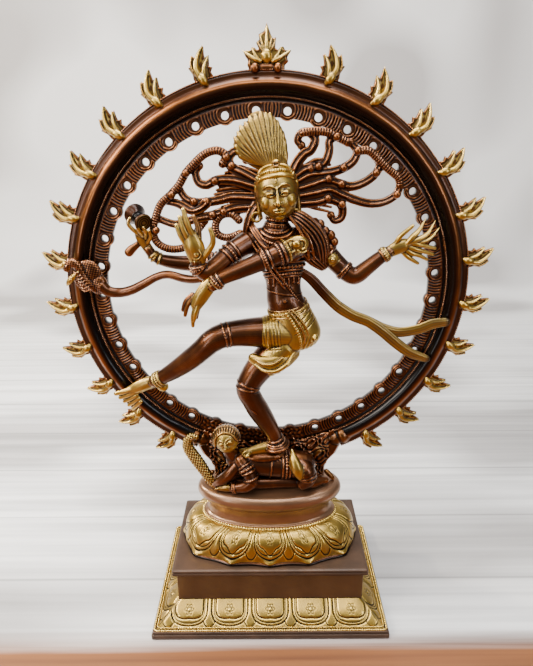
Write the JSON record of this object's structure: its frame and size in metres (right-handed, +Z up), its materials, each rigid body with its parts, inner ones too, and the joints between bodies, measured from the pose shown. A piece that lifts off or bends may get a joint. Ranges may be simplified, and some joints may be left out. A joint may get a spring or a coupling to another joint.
{
  "type": "ring-framed dancer statue",
  "caption": "Cast brass dancer with flying hair inside a flaming ring, standing on a small dwarf above an oval lotus and a stepped rectangular base.",
  "frame": {"origin": "centre of the base's underside, on the surface it stands on", "axes": "+Z up, +Y to the back, +X to the viewer's right when facing the dancer"},
  "size_m": [0.373, 0.142, 0.509],
  "materials": {
    "brown_patinated_brass": "cast, patinated brown and lacquered, glossy on rounds",
    "polished_brass": "cast, chased and relief-polished, dark in the cuts",
    "plated_steel": "zinc plated fasteners"
  },
  "bodies": {
    "root": {"pedestal": "brown_patinated_brass", "oval_plinth": "brown_patinated_brass", "ring_rail": "brown_patinated_brass", "ring_band": "brown_patinated_brass", "ring_foot_left": "brown_patinated_brass", "ring_foot_right": "brown_patinated_brass", "dwarf_body": "brown_patinated_brass", "torso": "brown_patinated_brass", "hair_left": "brown_patinated_brass", "hair_right": "brown_patinated_brass", "arm_drum": "brown_patinated_brass", "drum": "brown_patinated_brass", "arm_blessing": "brown_patinated_brass", "arm_across": "brown_patinated_brass", "arm_flame": "brown_patinated_brass", "leg_standing": "brown_patinated_brass", "leg_raised": "brown_patinated_brass", "cobra": "brown_patinated_brass", "lotus_cushion": "polished_brass", "crest_flame": "polished_brass", "dwarf_head": "polished_brass", "dwarf_serpent": "polished_brass", "dwarf_pegs": "polished_brass", "waist_cloth": "polished_brass", "head": "polished_brass", "crown_fan": "polished_brass", "earring_left": "polished_brass", "earring_right": "polished_brass", "fire": "polished_brass", "foot_peg": "polished_brass", "sash_upper": "polished_brass", "sash_lower": "polished_brass", "flame_left_1": "polished_brass", "flame_left_2": "polished_brass", "flame_left_3": "polished_brass", "flame_left_4": "polished_brass", "flame_left_5": "polished_brass", "flame_left_6": "polished_brass", "flame_left_7": "polished_brass", "flame_left_8": "polished_brass", "flame_left_9": "polished_brass", "flame_left_10": "polished_brass", "flame_left_11": "polished_brass", "flame_right_1": "polished_brass", "flame_right_2": "polished_brass", "flame_right_3": "polished_brass", "flame_right_4": "polished_brass", "flame_right_5": "polished_brass", "flame_right_6": "polished_brass", "flame_right_7": "polished_brass", "flame_right_8": "polished_brass", "flame_right_9": "polished_brass", "flame_right_10": "polished_brass", "flame_right_11": "polished_brass", "base_studs": "plated_steel", "base_washers": "plated_steel", "base_nuts": "plated_steel"}
  },
  "joints": []
}
